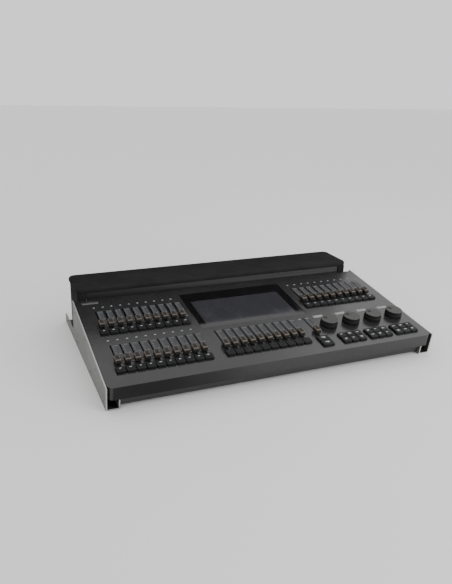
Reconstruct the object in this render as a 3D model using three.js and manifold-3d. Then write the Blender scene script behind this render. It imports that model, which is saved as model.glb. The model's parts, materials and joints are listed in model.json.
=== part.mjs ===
// Lighting control desk: a wedge-shaped desk with four banks of ten faders, a master fader,
// four encoder wheels, key rows, a touch screen and a hooded connector bay at the rear.
//
// World axes: +X to the operator's right, +Y to the rear, +Z up, millimetres.
// The origin is on the surface that the desk stands on, under the middle of its outline.
// Everything on the sloping face is placed in panel coordinates: u to the right from the left
// side, v up the slope from the front edge, and h straight out of the face.

import * as THREE from 'three';
import { mergeVertices } from 'three/addons/utils/BufferGeometryUtils.js';
import Module from 'manifold-3d';

const wasm = await Module();
wasm.setup();

// ---- driving dimensions -------------------------------------------------------------------

const DESK_WIDTH = 752;
const DESK_DEPTH = 458;
const FRONT_HEIGHT = 49.5;
const SLOPE = THREE.MathUtils.degToRad(8);
const PANEL_LENGTH = 338;
const SHEET = 2.5;
const GAP = 0.3;

const FADER_PITCH = 20;
const FADERS_PER_BANK = 10;
const FADER_TRAVEL = 60;
const SLOT_WIDTH = 3;
const SLOT_LENGTH = 68;
const SLOT_FRONT_BAND = 73;
const SLOT_REAR_BAND = 213.5;
const LEVER_WIDTH = 1.4;
const LEVER_LENGTH = 4;

const CAP = { width: 11, length: 20, lift: 1.4, height: 13.2, valley: 9.2 };

const KEY = { pitch: 20, width: 18.4, depth: 17, rise: 4.6, web: 1.4, margin: 2.5 };
const KEY_ROW_SETBACK = 32;
const KEY_TRAVEL = 1.5;
const PAD = { front: 20.5, rowPitch: 18.4, rows: 2, columns: 3, soloWidth: 27 };
const PAD_CENTRES = [556.5, 626.5, 696.5];

const ENCODER = { count: 4, first: 533.5, pitch: 60, v: 100, radius: 20, height: 15.5 };
const SHAFT_RADIUS = 3;

const SCREEN = { left: 245.5, right: 508.5, front: 157, rear: 315, glass: 2, module: 11 };

const BANKS = [
  { letter: 'a', first: 40, slot: SLOT_REAR_BAND },
  { letter: 'b', first: 40, slot: SLOT_FRONT_BAND },
  { letter: 'c', first: 268, slot: SLOT_FRONT_BAND },
  { letter: 'd', first: 532, slot: SLOT_REAR_BAND },
];
const MASTER_U = 488;

const BAND_HEIGHT = 28;
const CORNER_RADIUS = 14;
const CHANNEL = { width: 27, height: 21 };
const CHEEK_REAR = 343;
const FLOOR = { bottom: 5, thickness: 2 };
const HOOD = { inset: 10, front: 347, thickness: 12, top: 120, edge: 4.5, corner: 12 };
const IO_PLATE = { front: 339.5, thickness: 2, left: 34.5, right: 717.5, top: 93, upstand: 352 };
const SWITCH = { u: 92, z: 50, width: 14, height: 22 };
const BOARD = { top: -13.4, thickness: 1.6, left: 12, right: 740, front: 12, rear: 330 };

const FRONT_Y = -DESK_DEPTH / 2;
const LEFT_X = -DESK_WIDTH / 2;

// ---- material colours ---------------------------------------------------------------------

function paint(name, colour, roughness, metalness) {
  return new THREE.MeshStandardMaterial({ name, color: colour, roughness, metalness });
}

const MATERIALS = {
  panel: paint('panel_paint', 0x3e3f42, 0.5, 0.1),
  cheek: paint('cheek_paint', 0xa9aaa6, 0.45, 0.2),
  pan: paint('pan_paint', 0x2a2b2d, 0.55, 0.2),
  cap: paint('cap_plastic', 0x2b211b, 0.4, 0),
  key: paint('key_silicone', 0x26282c, 0.6, 0),
  knob: paint('knob_plastic', 0x4a4a49, 0.55, 0),
  glass: paint('screen_glass', 0x0a0b0d, 0.08, 0),
  hood: paint('hood_skin', 0x222322, 0.8, 0),
  board: paint('circuit_board', 0x1d4a2e, 0.5, 0),
  supply: paint('supply_case', 0x9a9c9e, 0.4, 0.8),
  socket: paint('socket_plate', 0x1b1c1e, 0.5, 0.3),
  rocker: paint('rocker_plastic', 0x101113, 0.35, 0),
};

// ---- solids -------------------------------------------------------------------------------

function solidOf(geometry) {
  geometry.deleteAttribute('normal');
  geometry.deleteAttribute('uv');
  const merged = mergeVertices(geometry, 1e-4);
  const index = merged.index.array;
  const triangles = [];
  for (let i = 0; i < index.length; i += 3) {
    const [a, b, c] = [index[i], index[i + 1], index[i + 2]];
    if (a !== b && b !== c && c !== a) triangles.push(a, b, c);
  }
  return new wasm.Manifold(new wasm.Mesh({
    numProp: 3,
    vertProperties: new Float32Array(merged.attributes.position.array),
    triVerts: new Uint32Array(triangles),
  }));
}

function geometryOf(solid) {
  const mesh = solid.getMesh();
  const geometry = new THREE.BufferGeometry();
  geometry.setAttribute('position', new THREE.BufferAttribute(mesh.vertProperties, 3));
  geometry.setIndex(new THREE.BufferAttribute(mesh.triVerts, 1));
  return geometry;
}

function union(solids) {
  return solids.reduce((whole, solid) => whole.add(solid));
}

function block(x0, x1, y0, y1, z0, z1) {
  const geometry = new THREE.BoxGeometry(x1 - x0, y1 - y0, z1 - z0);
  geometry.translate((x0 + x1) / 2, (y0 + y1) / 2, (z0 + z1) / 2);
  return solidOf(geometry);
}

// A flat outline in X and Y, given thickness from z0 to z1.
function plate(shape, z0, z1, curveSegments = 6) {
  const geometry = new THREE.ExtrudeGeometry(shape, { depth: z1 - z0, bevelEnabled: false, curveSegments });
  geometry.translate(0, 0, z0);
  return solidOf(geometry);
}

// A side-on outline in Y and Z, swept along X from x0 to x1.
function sweepX(shape, x0, x1, curveSegments = 6) {
  const geometry = new THREE.ExtrudeGeometry(shape, { depth: x1 - x0, bevelEnabled: false, curveSegments });
  const turn = new THREE.Matrix4().set(0, 0, 1, x0, 1, 0, 0, 0, 0, 1, 0, 0, 0, 0, 0, 1);
  geometry.applyMatrix4(turn);
  return solidOf(geometry);
}

function turned(profile, segments) {
  const points = profile.map(([radius, height]) => new THREE.Vector2(radius, height));
  const geometry = new THREE.LatheGeometry(points, segments);
  geometry.rotateX(Math.PI / 2);
  return solidOf(geometry);
}

function cylinder(radius, x, y, z0, z1, segments = 20) {
  const geometry = new THREE.CylinderGeometry(radius, radius, z1 - z0, segments);
  geometry.rotateX(Math.PI / 2);
  geometry.translate(x, y, (z0 + z1) / 2);
  return solidOf(geometry);
}

function outline(points) {
  return new THREE.Shape(points.map(([x, y]) => new THREE.Vector2(x, y)));
}

// A rectangle whose two front corners, at y0, are rounded.
function frontRounded(x0, x1, y0, y1, radius) {
  const shape = new THREE.Shape();
  shape.moveTo(x0, y1);
  shape.lineTo(x0, y0 + radius);
  shape.absarc(x0 + radius, y0 + radius, radius, Math.PI, 1.5 * Math.PI, false);
  shape.lineTo(x1 - radius, y0);
  shape.absarc(x1 - radius, y0 + radius, radius, 1.5 * Math.PI, 2 * Math.PI, false);
  shape.lineTo(x1, y1);
  shape.closePath();
  return shape;
}

function allRounded(x0, x1, y0, y1, radius) {
  const shape = new THREE.Shape();
  shape.absarc(x0 + radius, y0 + radius, radius, Math.PI, 1.5 * Math.PI, false);
  shape.absarc(x1 - radius, y0 + radius, radius, 1.5 * Math.PI, 2 * Math.PI, false);
  shape.absarc(x1 - radius, y1 - radius, radius, 0, 0.5 * Math.PI, false);
  shape.absarc(x0 + radius, y1 - radius, radius, 0.5 * Math.PI, Math.PI, false);
  shape.closePath();
  return shape;
}

// ---- scene graph --------------------------------------------------------------------------

const desk = new THREE.Group();
desk.name = 'lighting_control_desk';

const face = new THREE.Group();
face.position.set(LEFT_X, FRONT_Y, FRONT_HEIGHT);
face.rotation.x = SLOPE;
desk.add(face);

const body = new THREE.Group();
body.position.set(LEFT_X, FRONT_Y, 0);
desk.add(body);

function place(parent, name, solid, material, x = 0, y = 0, z = 0) {
  const mesh = new THREE.Mesh(geometryOf(solid), material);
  mesh.name = name;
  mesh.position.set(x, y, z);
  parent.add(mesh);
}

// A point on the sloping face, in the body's own side-on Y and Z.
function sideOn(v, h) {
  const y = v * Math.cos(SLOPE) - h * Math.sin(SLOPE);
  const z = FRONT_HEIGHT + v * Math.sin(SLOPE) + h * Math.cos(SLOPE);
  return [y, z];
}

// ---- sloping face and its openings --------------------------------------------------------

function bankFaders(bank) {
  return Array.from({ length: FADERS_PER_BANK }, (_, i) => bank.first + i * FADER_PITCH);
}

function allSlots() {
  const slots = BANKS.flatMap((bank) => bankFaders(bank).map((u) => [u, bank.slot]));
  return [...slots, [MASTER_U, SLOT_FRONT_BAND]];
}

function keyRowFront(bank) {
  return bank.slot - KEY_ROW_SETBACK;
}

function rowKeys(bank) {
  const v = keyRowFront(bank);
  return bankFaders(bank).map((u) => [u - KEY.width / 2, u + KEY.width / 2, v, v + KEY.depth]);
}

function padKeys() {
  const keys = [];
  for (let row = 0; row < PAD.rows; row += 1) {
    const v = PAD.front + row * PAD.rowPitch;
    keys.push([MASTER_U - PAD.soloWidth / 2, MASTER_U + PAD.soloWidth / 2, v, v + KEY.depth]);
    for (const centre of PAD_CENTRES) {
      for (let column = 0; column < PAD.columns; column += 1) {
        const u = centre + (column - (PAD.columns - 1) / 2) * KEY.pitch;
        keys.push([u - KEY.width / 2, u + KEY.width / 2, v, v + KEY.depth]);
      }
    }
  }
  return keys;
}

// The box round a group of keys, which is also the opening that they stand in.
function around(keys, margin) {
  const u0 = Math.min(...keys.map((key) => key[0])) - margin;
  const u1 = Math.max(...keys.map((key) => key[1])) + margin;
  const v0 = Math.min(...keys.map((key) => key[2])) - margin;
  const v1 = Math.max(...keys.map((key) => key[3])) + margin;
  return [u0, u1, v0, v1];
}

function keyOpenings() {
  const rows = BANKS.map((bank) => around(rowKeys(bank), 0.8));
  const solo = padKeys().filter((key) => key[0] < MASTER_U);
  const near = (key, centre) => Math.abs(key[0] - centre) < 1.6 * KEY.pitch;
  const blocks = PAD_CENTRES.map((centre) => padKeys().filter((key) => near(key, centre)));
  return [...rows, around(solo, 0.8), ...blocks.map((keys) => around(keys, 0.8))];
}

function encoderPlaces() {
  return Array.from({ length: ENCODER.count }, (_, i) => [ENCODER.first + i * ENCODER.pitch, ENCODER.v]);
}

function topPanel() {
  const [left, right] = [SHEET + GAP, DESK_WIDTH - SHEET - GAP];
  const outer = plate(frontRounded(left, right, 0, PANEL_LENGTH, CORNER_RADIUS), -BAND_HEIGHT, 0);
  const hollow = frontRounded(
    left + SHEET, right - SHEET, SHEET, PANEL_LENGTH - SHEET, CORNER_RADIUS - SHEET,
  );
  const cuts = [plate(hollow, -BAND_HEIGHT - 1, -SHEET)];
  for (const [u, v] of allSlots()) {
    cuts.push(block(u - SLOT_WIDTH / 2, u + SLOT_WIDTH / 2, v, v + SLOT_LENGTH, -5, 1));
  }
  for (const [u0, u1, v0, v1] of keyOpenings()) {
    cuts.push(block(u0, u1, v0, v1, -5, 1));
  }
  for (const [u, v] of encoderPlaces()) {
    cuts.push(cylinder(SHAFT_RADIUS + 1, u, v, -5, 1, 16));
  }
  const { left: s0, right: s1, front, rear } = SCREEN;
  cuts.push(plate(allRounded(s0 - GAP, s1 + GAP, front - GAP, rear + GAP, 5), -5, 1, 3));
  return outer.subtract(union(cuts));
}

place(face, 'top_panel', topPanel(), MATERIALS.panel);

// ---- touch screen -------------------------------------------------------------------------

function touchScreen() {
  const { left, right, front, rear, glass, module } = SCREEN;
  const cover = plate(allRounded(left, right, front, rear, 4.7), -glass - 0.5, -0.5, 3);
  const display = block(left + 8, right - 8, front + 5, rear - 5, -module, -glass);
  return cover.add(display);
}

place(face, 'touch_screen', touchScreen(), MATERIALS.glass);

// ---- fader caps ---------------------------------------------------------------------------

// Side-on, the cap has a front and a rear ridge with a finger valley between them.
function capSolid() {
  const half = CAP.length / 2;
  const shape = new THREE.Shape();
  shape.moveTo(-half, CAP.lift);
  shape.lineTo(half, CAP.lift);
  shape.lineTo(half - 1.2, CAP.height - 1.4);
  shape.lineTo(half - 2.6, CAP.height);
  shape.lineTo(half - 4.2, CAP.height - 0.5);
  shape.quadraticCurveTo(0, CAP.valley - 3, -half + 4.2, CAP.height - 0.9);
  shape.lineTo(-half + 2.4, CAP.height - 0.5);
  shape.lineTo(-half + 1, CAP.height - 2);
  shape.closePath();
  const grip = sweepX(shape, -CAP.width / 2, CAP.width / 2, 4);
  const [leverSide, leverEnd] = [LEVER_WIDTH / 2, LEVER_LENGTH / 2];
  const lever = block(-leverSide, leverSide, -leverEnd, leverEnd, -8.6, CAP.lift + 1);
  return grip.add(lever);
}

// The lever stands at the front end of its slot when the fader is down.
function leverRest(slotFront) {
  return slotFront + (SLOT_LENGTH - FADER_TRAVEL) / 2;
}

for (const bank of BANKS) {
  bankFaders(bank).forEach((u, i) => {
    const number = String(i + 1).padStart(2, '0');
    place(face, `fader_cap_${bank.letter}${number}`, capSolid(), MATERIALS.cap, u, leverRest(bank.slot), 0);
  });
}
place(face, 'fader_cap_master', capSolid(), MATERIALS.cap, MASTER_U, leverRest(SLOT_FRONT_BAND), 0);

// ---- key mats -----------------------------------------------------------------------------

function keyMat(keys) {
  const webTop = -SHEET - 0.5;
  const [u0, u1, v0, v1] = around(keys, KEY.margin);
  const web = block(u0, u1, v0, v1, webTop - KEY.web, webTop);
  const tops = keys.map(([a, b, c, d]) => block(a, b, c, d, webTop - 0.5, KEY.rise));
  return union([web, ...tops]);
}

for (const bank of BANKS) {
  place(face, `key_mat_${bank.letter}`, keyMat(rowKeys(bank)), MATERIALS.key);
}
place(face, 'key_mat_function', keyMat(padKeys()), MATERIALS.key);

// ---- encoder wheels -----------------------------------------------------------------------

function encoderWheel() {
  const { radius, height } = ENCODER;
  const wheel = turned([
    [0, -9], [SHAFT_RADIUS, -9], [SHAFT_RADIUS, 1], [radius - 0.6, 1], [radius, 1.8], [radius, 7.2],
    [radius - 0.8, 7.8], [radius - 0.8, height - 1], [radius - 1.8, height], [0, height],
  ], 40);
  const dimple = new THREE.SphereGeometry(9, 20, 12);
  dimple.translate(-7.6, 8.4, height + 6.4);
  return wheel.subtract(solidOf(dimple));
}

encoderPlaces().forEach(([u, v], i) => {
  place(face, `encoder_wheel_${i + 1}`, encoderWheel(), MATERIALS.knob, u, v, 0);
});

// ---- control board with slide pots, encoders and key switches -------------------------------

function slidePot(u, slotFront) {
  const top = -6.6;
  const [v0, v1] = [slotFront - 4, slotFront + SLOT_LENGTH + 4];
  const can = block(u - 4.5, u + 4.5, v0, v1, BOARD.top - 0.4, top);
  const track = block(u - 1.2, u + 1.2, slotFront + 1, slotFront + SLOT_LENGTH - 1, top - 3, top + 1);
  return can.subtract(track);
}

function controlBoard() {
  const { top, thickness, left, right, front, rear } = BOARD;
  const sheet = block(left, right, front, rear, top - thickness, top);
  const [windowLeft, windowRight] = [SCREEN.left - 6, SCREEN.right + 6];
  const window = block(windowLeft, windowRight, SCREEN.front - 6, rear + 1, top - thickness - 1, top + 1);
  const pots = allSlots().map(([u, v]) => slidePot(u, v));
  const encoders = encoderPlaces().map(([u, v]) => {
    const can = block(u - 7, u + 7, v - 7, v + 7, top - 0.4, -7);
    return can.subtract(cylinder(SHAFT_RADIUS + 0.4, u, v, -9.6, 0, 16));
  });
  const keys = [...BANKS.flatMap((bank) => rowKeys(bank)), ...padKeys()];
  const switches = keys.map(([a, b, c, d]) => {
    const [u, v] = [(a + b) / 2, (c + d) / 2];
    return block(u - 3, u + 3, v - 3, v + 3, top - 0.4, -SHEET - 0.5 - KEY.web - KEY_TRAVEL - GAP);
  });
  return sheet.subtract(window).add(union([...pots, ...encoders, ...switches]));
}

place(face, 'control_board', controlBoard(), MATERIALS.board);

// ---- bottom pan, with the raked strip under the front band ----------------------------------

function bottomPan() {
  const [left, right] = [CHANNEL.width + GAP, DESK_WIDTH - CHANNEL.width - GAP];
  const [top, bottom] = [FLOOR.bottom + FLOOR.thickness, FLOOR.bottom];
  const front = 14;
  const lip = sideOn(SHEET + GAP, -BAND_HEIGHT + 8);
  const fold = sideOn(SHEET + GAP, -BAND_HEIGHT - 0.5);
  const strip = outline([
    lip, fold, [front, bottom], [front + 3, bottom], [front + 3, top],
    [fold[0] + 3, fold[1] + 0.5], [lip[0] + 2, lip[1]],
  ]);
  const floor = block(left, right, front, DESK_DEPTH - GAP, bottom, top);
  const rearLip = block(left, right, DESK_DEPTH - GAP - 2, DESK_DEPTH - GAP, bottom, top + 8);
  return union([sweepX(strip, left, right), floor, rearLip]);
}

place(body, 'bottom_pan', bottomPan(), MATERIALS.pan);

// ---- side cheeks: channels whose outer plate rises to the face -------------------------------

function sideCheek() {
  const crest = sideOn(PANEL_LENGTH + 1, 0);
  const channelFront = sideOn(0, -CHANNEL.height - 4);
  const foot = sideOn(0, -FRONT_HEIGHT / Math.cos(SLOPE));
  foot[1] = 0;
  const plateShape = outline([
    sideOn(0, 0), foot, [DESK_DEPTH, 0], [DESK_DEPTH, CHANNEL.height],
    [CHEEK_REAR, CHANNEL.height], [CHEEK_REAR, crest[1]], crest,
  ]);
  const outer = sweepX(plateShape, 0, SHEET);
  const flange = block(0, CHANNEL.width, foot[0], DESK_DEPTH, 0, SHEET);
  const slant = (channelFront[0] - foot[0]) / channelFront[1];
  const uprightFoot = [foot[0], 0];
  const uprightHead = [foot[0] + slant * CHANNEL.height, CHANNEL.height];
  const upright = outline([uprightFoot, [DESK_DEPTH, 0], [DESK_DEPTH, CHANNEL.height], uprightHead]);
  return union([outer, flange, sweepX(upright, CHANNEL.width - SHEET, CHANNEL.width)]);
}

place(body, 'side_cheek_left', sideCheek(), MATERIALS.cheek);
place(body, 'side_cheek_right', sideCheek().mirror([1, 0, 0]), MATERIALS.cheek, DESK_WIDTH, 0, 0);

// ---- rear hood over the connector bay -------------------------------------------------------

function rearHood() {
  const { inset, front, thickness, top, edge, corner } = HOOD;
  const [left, right] = [inset + edge, DESK_WIDTH - inset - edge];
  const shape = allRounded(left, right, front + edge, DESK_DEPTH - edge, corner);
  const geometry = new THREE.ExtrudeGeometry(shape, {
    depth: thickness - 2 * edge,
    bevelThickness: edge,
    bevelSize: edge,
    bevelSegments: 3,
    curveSegments: 4,
  });
  geometry.translate(0, 0, top - thickness + edge);
  const plank = solidOf(geometry);
  const ends = [inset + 4, DESK_WIDTH - inset - 8].map((x) => (
    block(x, x + 4, front + edge, DESK_DEPTH - 8, SHEET + GAP, top - thickness + 1)
  ));
  const blocks = [inset + 6, DESK_WIDTH - inset - 24].map((x) => (
    block(x, x + 18, front + 2, front + 16, top - thickness - 18, top - thickness + 1)
  ));
  return union([plank, ...ends, ...blocks]);
}

place(body, 'rear_hood', rearHood(), MATERIALS.hood);

// ---- connector plate, power switch and power supply ---------------------------------------------

const XLR = { first: 320, pitch: 38, count: 4, radius: 12, z: 48 };
const SOCKETS = [
  { u: 520, z: 48, width: 16, height: 14 },
  { u: 548, z: 48, width: 16, height: 14 },
  { u: 580, z: 48, width: 14, height: 16 },
  { u: 604, z: 48, width: 14, height: 16 },
  { u: 636, z: 48, width: 17, height: 7 },
];
const INLET = { u: 130, z: 50, width: 32, height: 26 };

// A socket is a raised collar on the plate with a blind hole in it.
function collar(u, z, width, height, reach) {
  const y = IO_PLATE.front + IO_PLATE.thickness;
  const [side, rise] = [width / 2, height / 2];
  const wall = block(u - side - 2, u + side + 2, y - 12, y + reach, z - rise - 2, z + rise + 2);
  return wall.subtract(block(u - side, u + side, y - 10, y + reach + 1, z - rise, z + rise));
}

function roundCollar(u, z) {
  const y = IO_PLATE.front + IO_PLATE.thickness;
  const ring = cylinder(XLR.radius + 2, u, -z, y - 12, y + 3, 24);
  const hole = cylinder(XLR.radius, u, -z, y - 10, y + 4, 24);
  return ring.subtract(hole).rotate([-90, 0, 0]);
}

// The plate stands behind the face and steps back at its top to meet the hood's underside.
function ioPlate() {
  const { front, thickness, left, right, top, upstand } = IO_PLATE;
  const [low, rear] = [FLOOR.bottom + FLOOR.thickness + GAP, front + thickness];
  const boxed = [...SOCKETS, INLET];
  const hole = ({ u, z, width, height }) => (
    block(u - width / 2, u + width / 2, front - 1, rear + 1, z - height / 2, z + height / 2)
  );
  const rounds = Array.from({ length: XLR.count }, (_, i) => XLR.first + i * XLR.pitch);
  const crest = HOOD.top - HOOD.thickness - GAP;
  const section = outline([
    [front, low], [rear, low], [rear, top - thickness], [upstand + thickness, top - thickness],
    [upstand + thickness, crest], [upstand, crest], [upstand, top], [front, top],
  ]);
  let sheet = sweepX(section, left, right);
  for (const opening of [...boxed, SWITCH]) {
    sheet = sheet.subtract(hole(opening));
  }
  for (const u of rounds) {
    sheet = sheet.subtract(cylinder(XLR.radius, u, -XLR.z, front - 1, rear + 1, 24).rotate([-90, 0, 0]));
  }
  const collars = boxed.map((socket) => collar(socket.u, socket.z, socket.width, socket.height, 2));
  return union([sheet, ...collars, ...rounds.map((place_) => roundCollar(place_, XLR.z))]);
}

place(body, 'rear_io_plate', ioPlate(), MATERIALS.socket);

// The rocker is built round its own pivot, which runs along X at the plate's rear face.
function rocker() {
  const { width, height } = SWITCH;
  const shape = new THREE.Shape();
  shape.moveTo(-7, -4);
  shape.lineTo(1.6, -height / 2 + 1.4);
  shape.lineTo(4.4, -height / 2 + 1.8);
  shape.quadraticCurveTo(1.4, 0, 2.6, height / 2 - 1.8);
  shape.lineTo(0.6, height / 2 - 1.4);
  shape.lineTo(-7, 4);
  shape.closePath();
  return sweepX(shape, -width / 2 + 0.5, width / 2 - 0.5, 4);
}

const rockerY = IO_PLATE.front + IO_PLATE.thickness;
place(body, 'power_switch', rocker(), MATERIALS.rocker, SWITCH.u, rockerY, SWITCH.z);

function powerSupply() {
  const base = FLOOR.bottom + FLOOR.thickness + GAP;
  const can = block(120, 270, 230, 312, base, base + 34);
  const starts = Array.from({ length: 6 }, (_, i) => 140 + i * 20);
  const vents = starts.map((x) => block(x, x + 8, 245, 297, base + 31, base + 40));
  return can.subtract(union(vents));
}

place(body, 'power_supply', powerSupply(), MATERIALS.supply);

export default desk;
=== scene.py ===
"""Looks for a lighting control desk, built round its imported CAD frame. Metres, +Z up."""

import json
import math

import bmesh
import bpy
from mathutils import Matrix, Vector


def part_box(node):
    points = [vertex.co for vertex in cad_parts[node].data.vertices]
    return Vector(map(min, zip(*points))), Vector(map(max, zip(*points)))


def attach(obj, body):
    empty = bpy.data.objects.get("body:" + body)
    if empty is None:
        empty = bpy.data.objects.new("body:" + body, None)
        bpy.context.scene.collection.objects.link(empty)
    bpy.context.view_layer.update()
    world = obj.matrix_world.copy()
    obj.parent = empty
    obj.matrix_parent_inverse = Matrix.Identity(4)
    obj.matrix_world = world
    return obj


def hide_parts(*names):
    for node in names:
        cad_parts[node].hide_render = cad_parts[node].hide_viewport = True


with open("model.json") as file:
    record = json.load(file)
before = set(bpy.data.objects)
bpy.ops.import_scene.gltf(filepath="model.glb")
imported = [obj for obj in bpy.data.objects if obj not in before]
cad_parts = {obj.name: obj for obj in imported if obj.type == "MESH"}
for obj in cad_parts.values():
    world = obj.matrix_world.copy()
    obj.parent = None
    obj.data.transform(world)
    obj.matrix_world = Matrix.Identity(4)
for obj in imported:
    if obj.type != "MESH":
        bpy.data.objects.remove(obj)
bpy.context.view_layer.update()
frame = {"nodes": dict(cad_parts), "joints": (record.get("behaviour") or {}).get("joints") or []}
MM = 0.001

# ---- the sloping face: u to the right, v up the slope, h straight out, in millimetres ------

JOINTS = {joint["name"]: joint for joint in frame["joints"]}
ACROSS = Vector((1, 0, 0))
ALONG = Vector(JOINTS["fader_cap_master_slide"]["axis"]).normalized()
OUT = ACROSS.cross(ALONG)
WHEEL_PIVOT = Vector(JOINTS["encoder_wheel_1_turn"]["pos_m"])
PANEL_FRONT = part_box("top_panel")[0].y
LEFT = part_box("side_cheek_left")[0].x
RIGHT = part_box("side_cheek_right")[1].x


def face_origin():
    """The point of the face's plane at the desk's left side and front edge."""
    reach = (PANEL_FRONT - WHEEL_PIVOT.y) / ALONG.y
    return Vector((LEFT, PANEL_FRONT, WHEEL_PIVOT.z + reach * ALONG.z))


def face_matrix():
    turn = Matrix((ACROSS, ALONG, OUT)).transposed().to_4x4()
    return Matrix.Translation(face_origin()) @ turn @ Matrix.Scale(MM, 4)


FACE = face_matrix()
TO_FACE = FACE.inverted()


def face_box(node):
    """A CAD node's lowest and highest corners in face coordinates, in millimetres."""
    points = [TO_FACE @ v.co for v in frame["nodes"][node].data.vertices]
    low = Vector([min(p[i] for p in points) for i in range(3)])
    high = Vector([max(p[i] for p in points) for i in range(3)])
    return low, high


def face_middle(node):
    """The middle of a CAD node in face coordinates, across and along."""
    low, high = face_box(node)
    return (low.x + high.x) / 2, (low.y + high.y) / 2


def face_place(node):
    """The frame of the face moved to a CAD node's middle."""
    return FACE @ Matrix.Translation((*face_middle(node), 0))


# ---- material nodes ------------------------------------------------------------------------


class Surface:
    """A Principled material whose colour, roughness and bump come from noise in object space."""

    def __init__(self, name, unit=1.0):
        self.material = bpy.data.materials.new(name)
        self.material.use_nodes = True
        self.nodes = self.material.node_tree.nodes
        self.links = self.material.node_tree.links
        self.shader = self.nodes["Principled BSDF"]
        place = self.nodes.new("ShaderNodeTexCoord")
        scale = self.nodes.new("ShaderNodeMapping")
        scale.inputs["Scale"].default_value = (unit, unit, unit)
        self.links.new(place.outputs["Object"], scale.inputs["Vector"])
        self.place = scale.outputs["Vector"]
        self.height = None

    def set(self, **values):
        for key, value in values.items():
            self.shader.inputs[key.replace("_", " ")].default_value = value
        return self

    def stretched(self, stretch):
        node = self.nodes.new("ShaderNodeMapping")
        node.inputs["Scale"].default_value = stretch
        self.links.new(self.place, node.inputs["Vector"])
        return node.outputs["Vector"]

    def noise(self, scale, detail=3.0, roughness=0.55, stretch=None):
        node = self.nodes.new("ShaderNodeTexNoise")
        node.inputs["Scale"].default_value = scale
        node.inputs["Detail"].default_value = detail
        node.inputs["Roughness"].default_value = roughness
        self.links.new(self.stretched(stretch) if stretch else self.place, node.inputs["Vector"])
        return node.outputs["Fac"]

    def cells(self, scale, randomness=1.0, feature="F1"):
        node = self.nodes.new("ShaderNodeTexVoronoi")
        node.feature = feature
        node.inputs["Scale"].default_value = scale
        node.inputs["Randomness"].default_value = randomness
        self.links.new(self.place, node.inputs["Vector"])
        return node.outputs["Distance"]

    def attribute(self, name):
        node = self.nodes.new("ShaderNodeAttribute")
        node.attribute_name = name
        return node.outputs["Fac"]

    def remap(self, value, low, high, to_low, to_high):
        node = self.nodes.new("ShaderNodeMapRange")
        node.interpolation_type = "SMOOTHSTEP"
        limits = {"From Min": low, "From Max": high, "To Min": to_low, "To Max": to_high}
        for key, number in limits.items():
            node.inputs[key].default_value = number
        self.links.new(value, node.inputs["Value"])
        return node.outputs["Result"]

    def maths(self, operation, a, b):
        node = self.nodes.new("ShaderNodeMath")
        node.operation = operation
        for socket, value in zip(node.inputs, (a, b)):
            if isinstance(value, (int, float)):
                socket.default_value = value
            else:
                self.links.new(value, socket)
        return node.outputs["Value"]

    def mix(self, factor, low, high):
        """A colour between two, each a colour or a socket, by a factor."""
        node = self.nodes.new("ShaderNodeMix")
        node.data_type = "RGBA"
        self.links.new(factor, node.inputs["Factor"])
        for socket, value in ((node.inputs[6], low), (node.inputs[7], high)):
            if isinstance(value, tuple):
                socket.default_value = (*value, 1)
            else:
                self.links.new(value, socket)
        return node.outputs[2]

    def colour(self, socket):
        self.links.new(socket, self.shader.inputs["Base Color"])
        return self

    def rough(self, socket):
        self.links.new(socket, self.shader.inputs["Roughness"])
        return self

    def bump(self, height, distance, strength=1.0):
        """Adds one layer of bump; distance is in the material's own millimetres or metres."""
        node = self.nodes.new("ShaderNodeBump")
        node.inputs["Strength"].default_value = strength
        node.inputs["Distance"].default_value = distance
        self.links.new(height, node.inputs["Height"])
        if self.height is not None:
            self.links.new(self.height, node.inputs["Normal"])
        self.height = node.outputs["Normal"]
        self.links.new(self.height, self.shader.inputs["Normal"])
        return self


# Noise scales are in millimetres. A piece built in face coordinates has them already; one
# whose mesh is in metres passes WORLD_UNIT.
FACE_UNIT = 1.0
WORLD_UNIT = 1000.0


def powder_coat(name, dark, light, rough, unit, grain=0.00006, specular=0.5):
    """Fine satin powder coat: orange-peel grain, faint clouding and rubbed patches."""
    s = Surface(name, unit).set(Specular_IOR_Level=specular)
    cloud = s.remap(s.noise(0.012, 4), 0.35, 0.65, 0, 1)
    speck = s.remap(s.noise(2.6, 2), 0.4, 0.62, 0, 1)
    tone = s.maths("ADD", s.maths("MULTIPLY", cloud, 0.55), s.maths("MULTIPLY", speck, 0.45))
    s.colour(s.mix(tone, dark, light))
    rub = s.remap(s.noise(0.03, 5, 0.65), 0.5, 0.72, 0, 1)
    peel = s.remap(s.noise(1.4, 2), 0.3, 0.7, rough, rough + 0.07)
    s.rough(s.maths("ADD", s.maths("MULTIPLY", rub, -0.07), peel))
    s.bump(s.noise(1.7, 3, 0.6), grain, 0.55)
    s.bump(s.cells(0.9), grain * 0.6, 0.35)
    return s.material


def bare_edge(name, unit):
    """The bright cut edge of a coated sheet."""
    s = Surface(name, unit).set(Metallic=0.25, Specular_IOR_Level=0.6)
    streak = s.remap(s.noise(0.9, 4, 0.6, (0.08, 1, 1)), 0.35, 0.7, 0, 1)
    s.colour(s.mix(streak, (0.36, 0.36, 0.345), (0.5, 0.5, 0.48)))
    s.rough(s.remap(streak, 0, 1, 0.32, 0.46))
    s.bump(s.noise(3.0, 3), 0.00004, 0.4)
    return s.material


def moulded(name, dark, light, rough, unit, grain=0.00005, scale=2.2, specular=0.45):
    """Moulded plastic or silicone with a spark-eroded grain and handling shine."""
    s = Surface(name, unit).set(Specular_IOR_Level=specular)
    wear = s.remap(s.noise(0.18, 4, 0.6), 0.42, 0.68, 0, 1)
    s.colour(s.mix(wear, dark, light))
    s.rough(s.remap(wear, 0, 1, rough, rough - 0.09))
    s.bump(s.noise(scale, 3, 0.62), grain, 0.6)
    s.bump(s.cells(scale * 1.4), grain * 0.5, 0.4)
    return s.material


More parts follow.
